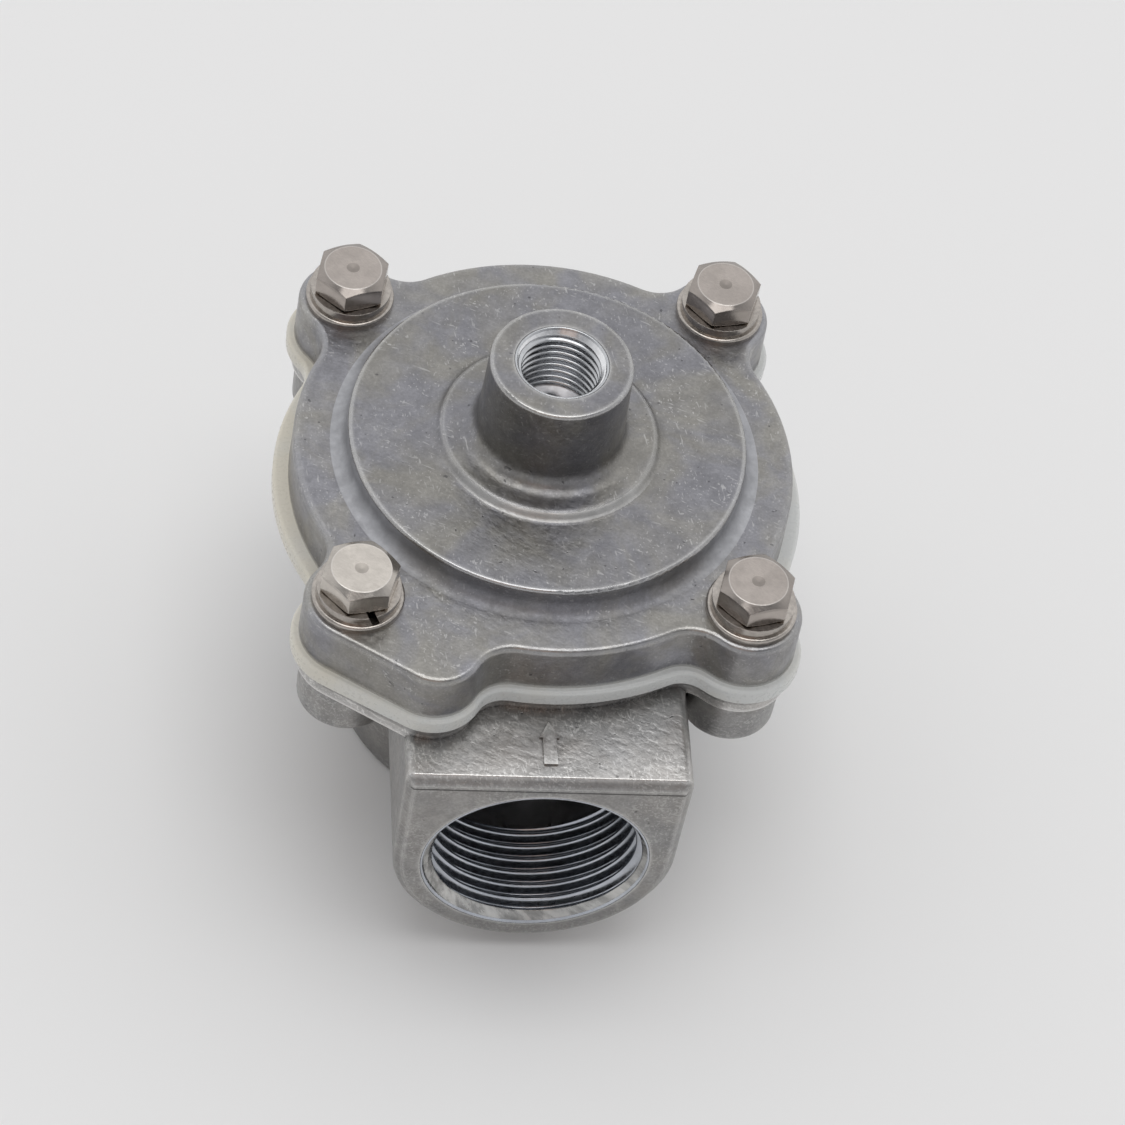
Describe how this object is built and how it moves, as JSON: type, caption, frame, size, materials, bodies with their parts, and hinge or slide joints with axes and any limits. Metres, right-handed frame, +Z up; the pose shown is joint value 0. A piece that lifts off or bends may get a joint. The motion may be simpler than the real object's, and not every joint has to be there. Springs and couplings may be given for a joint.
{
  "type": "diaphragm dump valve",
  "caption": "Right-angle diaphragm dump valve with a threaded side inlet, a threaded bottom outlet and a threaded pilot boss on a bolted cover.",
  "frame": {"origin": "centre of the outlet face, on the outlet axis", "axes": "+Z runs up the outlet axis to the pilot port, -Y points out of the inlet, +X completes a right-handed frame"},
  "size_m": [0.0798, 0.0893, 0.0774],
  "materials": {
    "body_casting": "as cast, tumbled",
    "cover_casting": "as cast, tumbled",
    "elastomer": "moulded, semi matt",
    "seat_rubber": "matt",
    "plate_steel": "zinc plated",
    "rivet_steel": "bright",
    "spring_steel": "bright drawn",
    "bolt_steel": "polished stainless",
    "washer_steel": "stainless"
  },
  "bodies": {
    "housing": {"valve_body": "body_casting", "valve_cover": "cover_casting", "diaphragm": "elastomer", "return_spring": "spring_steel", "bolt_front_left": "bolt_steel", "bolt_front_right": "bolt_steel", "bolt_back_left": "bolt_steel", "bolt_back_right": "bolt_steel", "lock_washer_front_left": "washer_steel", "lock_washer_front_right": "washer_steel", "lock_washer_back_left": "washer_steel", "lock_washer_back_right": "washer_steel", "flat_washer_front_left": "washer_steel", "flat_washer_front_right": "washer_steel", "flat_washer_back_left": "washer_steel", "flat_washer_back_right": "washer_steel"},
    "centre_stack": {"support_plate": "plate_steel", "seat_disc": "seat_rubber", "lower_plate": "plate_steel", "centre_rivet": "rivet_steel"}
  },
  "joints": [
    {"name": "diaphragm_lift", "type": "slide", "parent": "housing", "child": "centre_stack", "axis": [0, 0, 1], "range_m": [0, 0.0064], "stiffness_N_per_m": 820, "springref_m": -0.007, "deforming": ["diaphragm", "return_spring"]}
  ]
}
